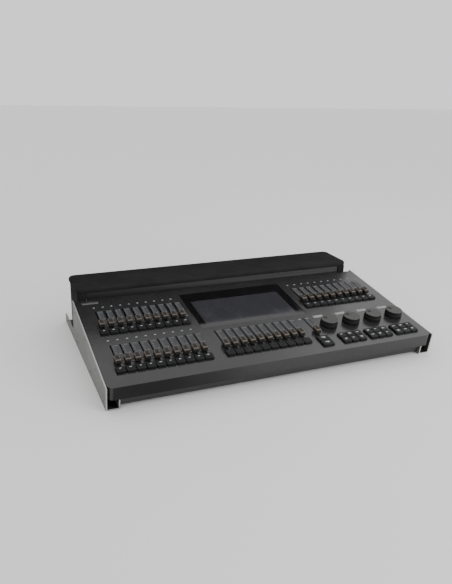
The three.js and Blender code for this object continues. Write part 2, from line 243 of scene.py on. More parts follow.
def cap_plastic():
    """Fader cap: brown-black, with a painted highlight in lighter brown along its rim; the attribute marks
    the rim.
    """
    s = Surface("cap_plastic_mat").set(Specular_IOR_Level=0.4)
    ridge = s.attribute("ridge")
    blotch = s.remap(s.noise(0.55, 4, 0.6), 0.3, 0.7, 0.6, 1.0)
    rim_highlight = s.maths("MULTIPLY", ridge, blotch)
    # Painted highlight: the rim is mixed towards a lighter brown, most at the front and least at the rear.
    s.colour(s.mix(rim_highlight, (0.0105, 0.0080, 0.0062), (0.172, 0.138, 0.108)))
    s.rough(s.remap(rim_highlight, 0, 1, 0.44, 0.36))
    s.bump(s.noise(2.4, 3, 0.6), 0.00005, 0.5)
    return s.material


def knob_top():
    """Soft-touch top of an encoder wheel; the attribute marks its finger dimple, which is painted
    darker as shade in its hollow and is polished smoother by use."""
    s = Surface("knob_top_mat").set(Specular_IOR_Level=0.45)
    dimple = s.attribute("dimple")
    wear = s.remap(s.noise(0.18, 4, 0.6), 0.42, 0.68, 0, 1)
    plain = s.mix(wear, (0.040, 0.0392, 0.0370), (0.055, 0.054, 0.051))
    # Painted shade: the dimple is mixed towards a darker grey.
    s.colour(s.mix(dimple, plain, (0.014, 0.0138, 0.0132)))
    s.rough(s.remap(s.maths("ADD", dimple, s.maths("MULTIPLY", wear, 0.25)), 0, 1.2, 0.56, 0.24))
    s.bump(s.noise(2.6, 3, 0.62), 0.00004, 0.6)
    s.bump(s.cells(3.6), 0.00002, 0.4)
    return s.material


def steel(name, unit, colour=(0.55, 0.55, 0.56), rough=0.32):
    s = Surface(name, unit).set(Metallic=1.0)
    brushed = s.noise(1.2, 4, 0.6, (1, 0.06, 1))
    s.colour(s.mix(brushed, tuple(c * 0.8 for c in colour), colour))
    s.rough(s.remap(brushed, 0.3, 0.7, rough - 0.06, rough + 0.1))
    s.bump(brushed, 0.00003, 0.5)
    return s.material


def screen_glass():
    """Glossy black border of the screen, with faint smears."""
    s = Surface("screen_border_mat").set(Specular_IOR_Level=0.5, IOR=1.5)
    smear = s.remap(s.noise(0.035, 5, 0.65, (1, 0.45, 1)), 0.45, 0.75, 0, 1)
    s.colour(s.mix(smear, (0.0035, 0.0035, 0.004), (0.006, 0.006, 0.0068)))
    s.rough(s.remap(smear, 0, 1, 0.045, 0.11))
    s.bump(s.noise(0.02, 2), 0.00002, 0.25)
    return s.material


def screen_display():
    """The dark display under the glass: a fine pixel grid and a slight blue-grey depth."""
    s = Surface("screen_display_mat").set(Specular_IOR_Level=0.5, IOR=1.5)
    smear = s.remap(s.noise(0.03, 5, 0.65, (1, 0.5, 1)), 0.42, 0.75, 0, 1)
    grid = s.remap(s.noise(3.5, 1), 0.3, 0.7, 0, 1)
    tone = s.maths("ADD", s.maths("MULTIPLY", smear, 0.7), s.maths("MULTIPLY", grid, 0.3))
    s.colour(s.mix(tone, (0.029, 0.029, 0.0335), (0.036, 0.036, 0.041)))
    s.rough(s.remap(smear, 0, 1, 0.07, 0.14))
    s.bump(s.noise(0.02, 2), 0.00002, 0.25)
    return s.material


def printed(name, dark, light, unit=1.0):
    """Screen-printed ink: slightly uneven, a little rougher than the paint under it."""
    s = Surface(name, unit).set(Specular_IOR_Level=0.35)
    patchy = s.remap(s.noise(0.9, 4, 0.65), 0.35, 0.65, 0, 1)
    s.colour(s.mix(patchy, dark, light))
    s.rough(s.remap(s.noise(2.0, 2), 0.3, 0.7, 0.5, 0.62))
    s.bump(s.noise(3.2, 2), 0.00003, 0.5)
    return s.material


def lens(name):
    """Milky indicator window."""
    s = Surface(name).set(Specular_IOR_Level=0.5, Subsurface_Weight=0.15)
    haze = s.remap(s.noise(0.8, 3), 0.3, 0.7, 0, 1)
    s.colour(s.mix(haze, (0.2, 0.203, 0.208), (0.3, 0.303, 0.31)))
    s.rough(s.remap(haze, 0, 1, 0.3, 0.42))
    s.bump(s.noise(1.5, 2), 0.00004, 0.4)
    return s.material


def hood_skin():
    """Matt black skin with a fine pebbled grain and dust-light flecks."""
    s = Surface("hood_skin_mat", WORLD_UNIT).set(Specular_IOR_Level=0.15)
    cloud = s.remap(s.noise(0.02, 4), 0.3, 0.7, 0, 1)
    fleck = s.remap(s.noise(0.9, 4, 0.7), 0.52, 0.7, 0, 1)
    tone = s.maths("ADD", s.maths("MULTIPLY", cloud, 0.5), s.maths("MULTIPLY", fleck, 0.5))
    s.colour(s.mix(tone, (0.0125, 0.0125, 0.0123), (0.0215, 0.0215, 0.021)))
    s.rough(s.remap(fleck, 0, 1, 0.86, 0.74))
    s.bump(s.cells(0.85), 0.00022, 0.7)
    s.bump(s.noise(2.2, 4, 0.65), 0.00014, 0.6)
    return s.material


def circuit():
    """Green solder mask over faint copper tracks."""
    s = Surface("circuit_mat", WORLD_UNIT).set(Specular_IOR_Level=0.5)
    track = s.remap(s.cells(0.25, 1.0, "DISTANCE_TO_EDGE"), 0.02, 0.06, 1, 0)
    s.colour(s.mix(track, (0.012, 0.055, 0.024), (0.03, 0.11, 0.045)))
    s.rough(s.remap(track, 0, 1, 0.34, 0.42))
    s.bump(track, 0.00005, 0.5)
    return s.material


def coat(name, dark, light, rough):
    return powder_coat(f"{name}_mat", dark, light, rough, WORLD_UNIT)


GREY = {
    "panel": coat("panel_paint", (0.0160, 0.0160, 0.0165), (0.0225, 0.0225, 0.023), 0.20),
    "cheek": coat("cheek_paint", (0.090, 0.090, 0.0855), (0.119, 0.119, 0.1125), 0.42),
    # Painted shade: a darker copy of the plate paint for the plate's faces in the shadow under the hood.
    "inner": coat("painted_gap_shade", (0.008, 0.008, 0.008), (0.012, 0.012, 0.012), 0.5),
    # Painted shade: a darker copy of the cheek paint for the shaded faces inside the cheeks' channels.
    "painted_channel_shade": coat("painted_channel_shade", (0.032, 0.032, 0.031), (0.044, 0.044, 0.0425), 0.5),
    "pan": coat("pan_paint", (0.0115, 0.0115, 0.0115), (0.0165, 0.0165, 0.0165), 0.36),
    "socket": coat("socket_plate", (0.013, 0.013, 0.0135), (0.02, 0.02, 0.021), 0.4),
}
CUT_EDGE = bare_edge("cut_edge_mat", WORLD_UNIT)
CAP = cap_plastic()
LEVER = steel("lever_steel_mat", FACE_UNIT)
KEY = moulded("key_silicone_mat", (0.0058, 0.006, 0.0068), (0.009, 0.0094, 0.0105), 0.52, FACE_UNIT,
              specular=0.2)
KNOB_TOP = knob_top()
KNOB_SIDE = moulded("knob_side_mat", (0.0065, 0.0065, 0.007), (0.0115, 0.0115, 0.0122), 0.5, FACE_UNIT,
                    specular=0.3)
BORDER = screen_glass()
DISPLAY = screen_display()
LEGEND = printed("legend_ink_mat", (0.46, 0.47, 0.48), (0.60, 0.61, 0.62))
SCALE = printed("scale_ink_mat", (0.036, 0.0372, 0.0400), (0.050, 0.0515, 0.0550))
TICK = printed("tick_ink_mat", (0.20, 0.205, 0.21), (0.30, 0.305, 0.31))
LABEL = printed("label_mat", (0.27, 0.27, 0.258), (0.34, 0.34, 0.328))
LENS = lens("indicator_mat")
HOOD = hood_skin()
BOARD = circuit()
SUPPLY = steel("supply_case_mat", WORLD_UNIT, (0.6, 0.61, 0.62), 0.3)
NAME_PLATE = steel("name_plate_mat", FACE_UNIT, (0.30, 0.30, 0.305), 0.4)
SCREW = steel("screw_mat", WORLD_UNIT, (0.16, 0.16, 0.165), 0.3)
NICKEL = steel("nickel_mat", WORLD_UNIT, (0.62, 0.62, 0.60), 0.24)
GOLD = steel("contact_mat", WORLD_UNIT, (0.75, 0.55, 0.22), 0.28)
ROCKER = moulded("rocker_mat", (0.008, 0.008, 0.0085), (0.014, 0.014, 0.015), 0.34, WORLD_UNIT)
SOCKET_CORE = moulded("socket_core_mat", (0.01, 0.01, 0.011), (0.018, 0.018, 0.019), 0.42, WORLD_UNIT)


# ---- mesh building -------------------------------------------------------------------------


class Shape:
    """Vertices and faces gathered into one mesh, with a material index on each face."""

    def __init__(self):
        self.points = []
        self.faces = []
        self.indices = []

    def ring(self, points):
        start = len(self.points)
        self.points.extend(points)
        return list(range(start, start + len(points)))

    def face(self, corners, index=0):
        self.faces.append(corners)
        self.indices.append(index)

    def bridge(self, lower, upper, index=0):
        count = len(lower)
        for i in range(count):
            j = (i + 1) % count
            self.face([lower[i], lower[j], upper[j], upper[i]], index)

    def loft(self, rings, index=0, ends=True):
        """Joins rings of points from the lowest to the highest, and closes both ends."""
        made = [self.ring(points) for points in rings]
        for lower, upper in zip(made, made[1:]):
            self.bridge(lower, upper, index)
        if ends:
            self.face(list(reversed(made[0])), index)
            self.face(made[-1], index)
        return made

    def build(self, name, materials, matrix=FACE, smooth=35.0):
        mesh = bpy.data.meshes.new(name)
        mesh.from_pydata([tuple(p) for p in self.points], [], self.faces)
        for material in materials:
            mesh.materials.append(material)
        mesh.polygons.foreach_set("material_index", self.indices)
        tidy_normals(mesh)
        return stand(name, mesh, matrix, smooth)


def tidy_normals(mesh):
    work = bmesh.new()
    work.from_mesh(mesh)
    bmesh.ops.recalc_face_normals(work, faces=work.faces)
    work.to_mesh(mesh)
    work.free()


def stand(name, mesh, matrix, smooth=35.0):
    """Links an object with that mesh, smooth but for edges sharper than the angle."""
    mesh.shade_smooth()
    mesh.set_sharp_from_angle(angle=math.radians(smooth))
    piece = bpy.data.objects.new(name, mesh)
    piece.matrix_world = matrix
    bpy.context.scene.collection.objects.link(piece)
    return piece


def belongs(piece, body, slot, *nodes):
    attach(piece, body)
    if nodes:
        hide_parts(*nodes)
    return piece


def rounded_ring(u0, u1, v0, v1, radius, h, steps=5):
    """Points round a rectangle with round corners, anticlockwise seen from above."""
    radius = max(0.01, min(radius, (u1 - u0) / 2 - 0.001, (v1 - v0) / 2 - 0.001))
    centres = ((u1 - radius, v0 + radius, -90), (u1 - radius, v1 - radius, 0),
               (u0 + radius, v1 - radius, 90), (u0 + radius, v0 + radius, 180))
    ring = []
    for cu, cv, start in centres:
        for k in range(steps + 1):
            angle = math.radians(start + 90 * k / steps)
            ring.append((cu + radius * math.cos(angle), cv + radius * math.sin(angle), h))
    return ring


def pillow(shape, u0, u1, v0, v1, h0, h1, corner, edge, dish=0.0, index=0, steps=5):
    """A block with round corners and a rolled top edge, its top dished by some depth."""
    def ring(inset, h):
        return rounded_ring(u0 + inset, u1 - inset, v0 + inset, v1 - inset, corner - inset * 0.7, h, steps)

    rings = [ring(0, h0), ring(0, h1 - edge)]
    for k in range(1, 5):
        angle = math.radians(90 * k / 4)
        rings.append(ring(edge * (1 - math.cos(angle)), h1 - edge * (1 - math.sin(angle))))
    reach = min(u1 - u0, v1 - v0) / 2
    if dish:
        for k in range(1, 5):
            share = k / 4
            inset = edge + (reach * 0.86 - edge) * share
            rings.append(ring(inset, h1 - dish * math.sin(share * math.pi / 2)))
    shape.loft(rings, index)


def stamp(shape, u0, u1, v0, v1, h, radius, index=0, thickness=0.12, steps=3):
    """A thin printed or inlaid patch that stands a hair proud of a surface at height h."""
    levels = (h - 0.3, h + thickness)
    shape.loft([rounded_ring(u0, u1, v0, v1, radius, level, steps) for level in levels], index)


# ---- CAD sheet parts, with their folded edges softened -------------------------------------


def softened(node, name, material, slot, width, body="desk", segments=2, angle=28, extra=(), chooser=None):
    """A copy of a CAD node with its flat faces joined up and its sharp edges rolled over.
    The chooser picks the material index of each flat face."""
    mesh = frame["nodes"][node].data.copy()
    mesh.name = name
    mesh.materials.clear()
    for paint in (material, *extra):
        mesh.materials.append(paint)
    work = bmesh.new()
    work.from_mesh(mesh)
    bmesh.ops.remove_doubles(work, verts=work.verts, dist=2e-6)
    bmesh.ops.dissolve_limit(
        work, angle_limit=math.radians(1.0), verts=work.verts, edges=work.edges, delimit=set()
    )
    for face in work.faces:
        face.material_index = chooser(face) if chooser else 0
    work.to_mesh(mesh)
    work.free()
    piece = stand(name, mesh, Matrix.Identity(4), 40)
    bevel = piece.modifiers.new("rolled_edges", "BEVEL")
    bevel.width = width * MM
    bevel.segments = segments
    bevel.limit_method = "ANGLE"
    bevel.angle_limit = math.radians(angle)
    bevel.harden_normals = True
    return belongs(piece, body, slot, node)


def cheek_paint(side):
    """Bright cut edges, grey outer faces and inner faces painted darker as shade inside the channel, for
    the cheek on that side.
    """
    sheet = 2.7 * MM
    channel = 27 * MM

    def choose(face):
        spans = [max(v.co[i] for v in face.verts) - min(v.co[i] for v in face.verts) for i in range(3)]
        facing = face.normal
        if abs(facing.x) < 0.5 and (spans[0] < sheet or (spans[2] < sheet and abs(facing.y) > 0.5)):
            return 1
        if facing.z < -0.5:
            return 0
        depth = (side - face.calc_center_median().x) * (1 if side > 0 else -1)
        outward = abs(facing.x) > 0.5 and (depth < 0.1 * MM or abs(depth - channel) < 0.1 * MM)
        # Inner faces take index 2, a darker paint that stands for the shade inside the channel.
        return 0 if outward else 2

    return choose


def plate_paint(face):
    """The plate's forward faces are seen only through the gap under the hood, and are painted darker as the
    hood's shade.
    """
    return 1 if face.normal.y < -0.5 else 0


def board_paint(face):
    """Solder mask on the board's large sheet and black plastic on what stands on it."""
    return 0 if max(edge.calc_length() for edge in face.edges) > 100 * MM else 1


softened("top_panel", "face_panel", GREY["panel"], "panel_paint", 0.45)
for cheek, edge_x in (("left", LEFT), ("right", RIGHT)):
    softened(f"side_cheek_{cheek}", f"cheek_channel_{cheek}", GREY["cheek"], "cheek_paint", 0.5,
             extra=(CUT_EDGE, GREY["painted_channel_shade"]), chooser=cheek_paint(edge_x))
softened("bottom_pan", "pan_tray", GREY["pan"], "pan_paint", 0.45)
softened("rear_hood", "hood_bar", HOOD, "hood_skin", 0.8)
# The plate's forward faces take the painted shade of the gap under the hood.
softened("rear_io_plate", "io_plate", GREY["socket"], "socket_plate", 0.3,
         extra=(GREY["inner"],), chooser=plate_paint)
softened("power_supply", "supply_box", SUPPLY, "supply_case", 0.5)
softened("power_switch", "switch_rocker", ROCKER, "rocker_plastic", 0.5, body="power_switch", segments=3)
softened("control_board", "control_pcb", BOARD, "circuit_board", 0.15, segments=1,
         extra=(ROCKER,), chooser=board_paint)


# ---- touch screen --------------------------------------------------------------------------

DISPLAY_MARGIN = {"left": 16.5, "right": 20.5, "front": 11.0, "rear": 39.0}


def touch_screen():
    low, high = face_box("touch_screen")
    shape = Shape()
    top = high.z
    glass = 2.0
    rings = [(0, top - glass), (0, top - 0.5), (0.15, top - 0.2), (0.5, top), (0.9, top), (1.4, top)]
    made = shape.loft(
        [rounded_ring(low.x + i, high.x - i, low.y + i, high.y - i, 4.7 - i, h, 6) for i, h in rings],
        ends=False,
    )
    shape.face(list(reversed(made[0])), 0)
    window = rounded_ring(
        low.x + DISPLAY_MARGIN["left"], high.x - DISPLAY_MARGIN["right"],
        low.y + DISPLAY_MARGIN["front"], high.y - DISPLAY_MARGIN["rear"], 1.0, top, 6,
    )
    inner = shape.ring(window)
    shape.bridge(made[-1], inner, 0)
    shape.face(inner, 1)
    module_top = top - glass - 0.01
    pillow(shape, low.x + 8, high.x - 8, low.y + 5, high.y - 5, low.z, module_top, 1.5, 0.6)
    belongs(shape.build("touch_glass", [BORDER, DISPLAY]), "desk", "screen_glass", "touch_screen")


touch_screen()


# ---- fader caps ----------------------------------------------------------------------------

CAP_OUTLINE = [
    (-10, 1.4), (10, 1.4), (9.6, 6), (9.0, 11.2), (8.0, 12.9), (6.3, 12.9), (4.8, 11.7), (2.4, 9.9),
    (0, 9.2), (-2.4, 9.7), (-4.8, 11.2), (-6.3, 12.4), (-8.0, 12.6), (-9.1, 11.0), (-9.7, 6),
]
RIM_OUTLINE = [
    (-10, 1.4), (10, 1.4), (9.6, 6), (9.0, 11.2), (8.0, 12.9), (6.3, 12.9), (4.8, 12.4), (2.4, 11.9),
    (0, 11.6), (-2.4, 11.7), (-4.8, 12.0), (-6.3, 12.4), (-8.0, 12.6), (-9.1, 11.0), (-9.7, 6),
]
CAP_HALF_WIDTH = 5.5
CAP_ROLL = 0.9
CAP_STATIONS = (4.2, 3.8, 3.3, 2.8, 2.2, 1.1, 0)
DISH_EDGE, RIM_EDGE = 2.6, 4.4
VALLEY_TOP, VALLEY_REACH = 8.5, 5
GRIP_PITCH, GRIP_DEPTH = 1.25, 0.14


def corner_cut(points, times):
    """Chaikin's corner cutting, which rounds a closed outline."""
    for _ in range(times):
        cut = []
        for i, (a, b) in enumerate(zip(points, points[1:] + points[:1])):
            cut.append((a[0] * 0.75 + b[0] * 0.25, a[1] * 0.75 + b[1] * 0.25))
            cut.append((a[0] * 0.25 + b[0] * 0.75, a[1] * 0.25 + b[1] * 0.75))
        points = cut
    return points


def inward(points, amount):
    """The outline moved in by an amount, along each point's own normal."""
    moved = []
    for i, (v, h) in enumerate(points):
        before = points[i - 1]
        after = points[(i + 1) % len(points)]
        dv, dh = after[0] - before[0], after[1] - before[1]
        length = math.hypot(dv, dh)
        moved.append((v - amount * dh / length, h + amount * dv / length))
    return moved


def ramp(value, low, high):
    """0 below low, 1 above high and a smooth step between."""
    share = max(0.0, min(1.0, (value - low) / (high - low)))
    return share * share * (3 - 2 * share)


def cap_section(u):
    """The cap's outline at some distance from its middle: dished within, rimmed at the sides."""
    rim = ramp(abs(u), DISH_EDGE, RIM_EDGE)
    points = [(v, low + (high - low) * rim) for (v, low), (_, high) in zip(CAP_OUTLINE, RIM_OUTLINE)]
    ribbed = []
    for v, h in corner_cut(points, 3):
        if h > VALLEY_TOP and abs(v) < VALLEY_REACH:
            fade = (1 - rim) * (1 - (v / VALLEY_REACH) ** 2)
            h += GRIP_DEPTH * fade * math.cos(2 * math.pi * v / GRIP_PITCH)
        ribbed.append((v, h))
    return ribbed


def rim_highlight_share(u, v, h):
    """How far a point of the cap belongs to the painted highlight on its rim."""
    side = ramp(abs(u), 3.3, 4.4) * ramp(h, 8.5, 11) * 0.62
    front = ramp(-v, 5.2, 6.6) * ramp(h, 10.4, 12.0) * (1 - 0.75 * ramp(-v, 8.2, 9.2)) * 0.85
    rear = ramp(v, 6.5, 8) * ramp(h, 10.5, 12.5) * 0.35
    return max(side, front, rear)


def cap_mesh():
    """One fader cap on its lever: a dished pad with grip ribs and raised rims."""
    stations = []
    for k in range(5, -1, -1):
        angle = math.radians(90 * k / 5)
        u = CAP_HALF_WIDTH - CAP_ROLL * (1 - math.sin(angle))
        stations.append((u, CAP_ROLL * (1 - math.cos(angle)) * 0.8))
    stations += [(u, 0.0) for u in CAP_STATIONS]
    left = [(-u, inset) for u, inset in stations]
    right = [(u, inset) for u, inset in reversed(stations) if u > 0]
    shape = Shape()
    shape.loft([[(u, v, h) for v, h in inward(cap_section(u), inset)] for u, inset in left + right], 0)
    pillow(shape, -0.7, 0.7, -2, 2, -8.6, 2.0, 0.3, 0.1, index=1, steps=2)
    piece = shape.build("fader_cap_master_piece", [CAP, LEVER])
    mesh = piece.data
    bpy.data.objects.remove(piece)
    # The ridge attribute carries the painted highlight on the cap's rim.
    ridge = mesh.attributes.new("ridge", "FLOAT", "POINT")
    ridge.data.foreach_set("value", [rim_highlight_share(*vertex.co) for vertex in mesh.vertices])
    return mesh


def fader_caps():
    mesh = cap_mesh()
    for node in sorted(frame["nodes"]):
        if not node.startswith("fader_cap_"):
            continue
        piece = stand(node.replace("fader_cap", "cap"), mesh, face_place(node), 40)
        belongs(piece, node, "cap_plastic", node)


fader_caps()


# ---- keys ----------------------------------------------------------------------------------

KEY_PITCH = 20
KEY_DEPTH = 17
KEY_WIDTH = 18.4
KEY_MARGIN = 2.5
KEY_WEB = 1.4
PAD_PITCH = 70
PAD_ROW_PITCH = 18.4
SOLO_KEY_WIDTH = 27
SOLO_MARKS = [(0, 2.8, 9.6, 1.7), (1.6, -0.2, 6.4, 1.4)]
PAD_MARKS = (
    [(0.2, 3.0, 6.4, 1.4), (-1.0, 0.4, 4.4, 1.3)], [(-0.6, 2.8, 5.4, 1.5)],
    [(0, 3.2, 5.8, 1.4), (0.8, 0.6, 6.6, 1.3)], [(0.4, 2.2, 7.4, 1.5)],
)


def key_mat(node):
    """A new shape with the mat's web in it, and the CAD node's corners."""
    low, high = face_box(node)
    shape = Shape()
    pillow(shape, low.x, high.x, low.y, high.y, low.z, low.z + KEY_WEB, 1.0, 0.2)
    return shape, low, high


def keycap(shape, u0, v0, low, high, marks, width=KEY_WIDTH):
    """A silicone key with a rolled edge and a dished top; marks are printed dashes, as
    (offset across, offset along, width, depth) from its middle."""
    top = high.z
    pillow(shape, u0, u0 + width, v0, v0 + KEY_DEPTH, low.z + KEY_WEB - 0.3, top, 1.8, 1.1, dish=0.35)
    cu, cv = u0 + width / 2, v0 + KEY_DEPTH / 2
    for du, dv, wide, deep in marks:
        stamp(shape, cu + du - wide / 2, cu + du + wide / 2, cv + dv - deep / 2, cv + dv + deep / 2,
              top - 0.3, 0.4, 1, 0.1, 2)


def row_marks(row_letter, number):
    """Generic dashes that differ a little from key to key, none on the middle bank."""
    if row_letter == "c":
        return []
    widths = (3.8, 4.8, 3.4, 4.2, 5.2)
    return [(0, 3.2, widths[number % len(widths)], 1.6)]


def key_row(letter):
    node = f"key_mat_{letter}"
    shape, low, high = key_mat(node)
    for i in range(10):
        u0 = low.x + KEY_MARGIN + i * KEY_PITCH
        keycap(shape, u0, low.y + KEY_MARGIN, low, high, row_marks(letter, i))
    belongs(shape.build(f"keys_{letter}", [KEY, LEGEND]), node, "key_silicone", node)


def function_keys():
    """A column of two wide keys and three pads of three by two."""
    node = "key_mat_function"
    shape, low, high = key_mat(node)
    last_centre = high.x - KEY_MARGIN - KEY_WIDTH / 2 - KEY_PITCH
    number = 0
    for row in range(2):
        v0 = low.y + KEY_MARGIN + row * PAD_ROW_PITCH
        keycap(shape, low.x + KEY_MARGIN, v0, low, high, SOLO_MARKS, SOLO_KEY_WIDTH)
        for pad in (2, 1, 0):
            for column in (-1, 0, 1):
                u0 = last_centre - pad * PAD_PITCH + column * KEY_PITCH - KEY_WIDTH / 2
                keycap(shape, u0, v0, low, high, PAD_MARKS[number % len(PAD_MARKS)])
                number += 1
    belongs(shape.build("keys_function", [KEY, LEGEND]), node, "key_silicone", node)


for row_letter in "abcd":
    key_row(row_letter)
function_keys()


# ---- encoder wheels ------------------------------------------------------------------------

WHEEL_RIBS = 60
WHEEL_STEPS = 240
DIMPLE = {"u": -7.6, "v": 8.4, "radius": 5.6, "depth": 2.6}


def dimple_depth(u, v):
    away = math.hypot(u - DIMPLE["u"], v - DIMPLE["v"]) / DIMPLE["radius"]
    return DIMPLE["depth"] * (1 - away * away) ** 0.5 if away < 1 else 0.0


def dimple_share(u, v, h):
    """1 inside the finger dimple and 0 outside it."""
    away = math.hypot(u - DIMPLE["u"], v - DIMPLE["v"])
    return 1 - ramp(away, DIMPLE["radius"] - 1.2, DIMPLE["radius"] + 0.2) if h > 9 else 0.0


def wheel_mesh():
    """A wheel with a ribbed skirt, a smaller upper step and a finger dimple in its top."""
    def ring(radius, h, rib=0.0, dimpled=False):
        points = []
        for k in range(WHEEL_STEPS):
            angle = 2 * math.pi * k / WHEEL_STEPS
            r = radius - rib * (0.5 - 0.5 * math.cos(WHEEL_RIBS * angle))
            u, v = r * math.cos(angle), r * math.sin(angle)
            points.append((u, v, h - (dimple_depth(u, v) if dimpled else 0)))
        return points

    shape = Shape()
    side = [
        ring(3, -9), ring(3, 1), ring(19.2, 1), ring(19.8, 1.3, 0.3),
        ring(20, 2.0, 0.55), ring(20, 6.9, 0.55), ring(19.7, 7.5, 0.3), ring(19.2, 7.8),
        ring(19.0, 8.1), ring(19.1, 8.4), ring(19.2, 14.2), ring(19.1, 14.7),
    ]
    top = [ring(19.1 - 0.95 * (1 - math.cos(math.radians(a))), 14.7 + 0.8 * math.sin(math.radians(a)))
           for a in (22, 45, 68, 90)]
    disc = [ring(18.15 - 0.62 * k, 15.5 - 0.25 * min(1.0, k / 3), 0, True) for k in range(1, 29)]
    made = shape.loft(side + top + disc, 0, False)
    shape.face(list(reversed(made[0])), 0)
    shape.face(made[-1], 0)
    first_top_face = WHEEL_STEPS * (len(side) - 1)
    for i in range(first_top_face, len(shape.faces)):
        shape.indices[i] = 1
    shape.indices[-2] = 0
    piece = shape.build("wheel_piece", [KNOB_SIDE, KNOB_TOP])
    mesh = piece.data
    bpy.data.objects.remove(piece)
    dimple = mesh.attributes.new("dimple", "FLOAT", "POINT")
    dimple.data.foreach_set("value", [dimple_share(*vertex.co) for vertex in mesh.vertices])
    return mesh


def encoder_wheels():
    mesh = wheel_mesh()
    for node in sorted(frame["nodes"]):
        if node.startswith("encoder_wheel_"):
            piece = stand(node.replace("encoder_wheel", "wheel"), mesh, face_place(node), 30)
            belongs(piece, node, "knob_plastic", node)


encoder_wheels()


# ---- printing, windows and indicators on the face ------------------------------------------

TRAVEL_MM = JOINTS["fader_cap_master_slide"]["range_m"][1] / MM


def cap_places(letter):
    return [face_middle(f"fader_cap_{letter}{number:02d}") for number in range(1, 11)]


def fader_scale(shape, u, v, ticks):
    """A lighter printed strip to the right of a slot, with graduations over the travel."""
    stamp(shape, u + 2.6, u + 15.4, v - 3, v + TRAVEL_MM + 4.5, 0, 0.8, 0, 0.06)
    for k in range(ticks + 1):
        at = v + TRAVEL_MM * k / ticks
        reach = 7.0 if k % 5 == 0 else 4.0
        stamp(shape, u + 3.4, u + 3.4 + reach, at - 0.35, at + 0.35, 0.06, 0.2, 1, 0.05, 1)
    for k in (0, 5, 10):
        at = v + TRAVEL_MM * k / 10
        stamp(shape, u + 11.6, u + 14.2, at - 1.0, at + 1.0, 0.06, 0.5, 1, 0.05, 2)


def face_prints():
    for letter in "abcd":
        shape = Shape()
        for u, v in cap_places(letter):
            fader_scale(shape, u, v, 10)
        belongs(shape.build(f"scale_print_{letter}", [SCALE, TICK]), "desk", "panel_paint")
    shape = Shape()
    fader_scale(shape, *face_middle("fader_cap_master"), 10)
    belongs(shape.build("scale_print_master", [SCALE, TICK]), "desk", "panel_paint")


def indicators():
    """A small milky window behind each slot of three banks, and two beside the master's slot."""
    spots = [(u, v + TRAVEL_MM + 4 + 17.6) for letter in "abd" for u, v in cap_places(letter)]
    u, v = face_middle("fader_cap_master")
    spots += [(u - 10, v + TRAVEL_MM), (u + 10.5, v + TRAVEL_MM)]
    shape = Shape()
    for u, v in spots:
        pillow(shape, u - 2.6, u + 2.6, v - 1.9, v + 1.9, -1, 0.35, 1.8, 0.3, steps=4)
    belongs(shape.build("indicator_windows", [LENS]), "desk", "panel_paint")


def label_windows():
    """A blank writing label behind each encoder wheel."""
    shape = Shape()
    for k in range(1, 5):
        u, v = face_middle(f"encoder_wheel_{k}")
        pillow(shape, u - 17.6, u + 8.6, v + 34.4, v + 43.6, -1, 0.3, 1.0, 0.15)
    belongs(shape.build("label_strips", [LABEL]), "desk", "panel_paint")


face_prints()
indicators()
label_windows()


# ---- fasteners and rear sockets ------------------------------------------------------------

TURN_LEFT = Matrix(((0, 0, -1, 0), (-1, 0, 0, 0), (0, 1, 0, 0), (0, 0, 0, 1)))
TURN_RIGHT = Matrix(((0, 0, 1, 0), (1, 0, 0, 0), (0, 1, 0, 0), (0, 0, 0, 1)))
TURN_REAR = Matrix(((-1, 0, 0, 0), (0, 0, 1, 0), (0, 1, 0, 0), (0, 0, 0, 1)))


def circle(radius, h, steps=28, cu=0.0, cv=0.0):
    turns = [2 * math.pi * k / steps for k in range(steps)]
    return [(cu + radius * math.cos(angle), cv + radius * math.sin(angle), h) for angle in turns]


def hex_ring(across, h, steps=28):
    """A hexagon with as many points as a circle, so that the two can be joined."""
    points = []
    for k in range(steps):
        angle = 2 * math.pi * k / steps
        part = (angle + math.pi / 6) % (math.pi / 3) - math.pi / 6
        r = across / 2 / math.cos(part)
        points.append((r * math.cos(angle), r * math.sin(angle), h))
    return points


def screw_shape():
    """A low button-head screw with a hexagon socket."""
    shape = Shape()
    head = [circle(2.9, -0.6), circle(2.9, 0.05), circle(2.6, 0.42), circle(2.1, 0.62)]
    shape.loft([*head, hex_ring(2.6, 0.62), hex_ring(2.5, -0.4)])
    return shape


def screws(name, places, turn, slot="cheek_paint"):
    """Screw heads at points in metres, all facing one way, as one piece."""
    shape = Shape()
    pattern = screw_shape()
    for place in places:
        matrix = Matrix.Translation(place) @ turn @ Matrix.Scale(MM, 4)
        start = len(shape.points)
        shape.points.extend([tuple(matrix @ Vector(p)) for p in pattern.points])
        for face in pattern.faces:
            shape.face([start + i for i in face])
    belongs(shape.build(name, [SCREW], Matrix.Identity(4)), "desk", slot)


def cheek_screws():
    low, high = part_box("side_cheek_left")
    lower = [(share, 0.011) for share in (0.06, 0.33, 0.66, 0.94)]
    upper = [(0.20, 0.045), (0.45, 0.060), (0.70, 0.075)]
    points = [(low.y + (high.y - low.y) * share, z) for share, z in lower + upper]
    screws("cheek_screws_left", [Vector((LEFT, y, z)) for y, z in points], TURN_LEFT)
    screws("cheek_screws_right", [Vector((RIGHT, y, z)) for y, z in points], TURN_RIGHT)


cheek_screws()

PLATE_LOW, PLATE_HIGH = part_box("rear_io_plate")
# In metres, how far the plate's outer face is behind the fronts of its sockets' cups.
SOCKET_CAN = 0.012
PLATE_REAR = PLATE_LOW.y + SOCKET_CAN


def rear_screws():
    """Two rows of screws along the rear plate."""
    rows = (0.016, 0.082)
    columns = (PLATE_LOW.x + 0.012, PLATE_LOW.x + 0.23, PLATE_HIGH.x - 0.06, PLATE_HIGH.x - 0.012)
    points = [Vector((x, PLATE_REAR, z)) for x in columns for z in rows]
    screws("plate_screws", points, TURN_REAR, "socket_plate")


rear_screws()

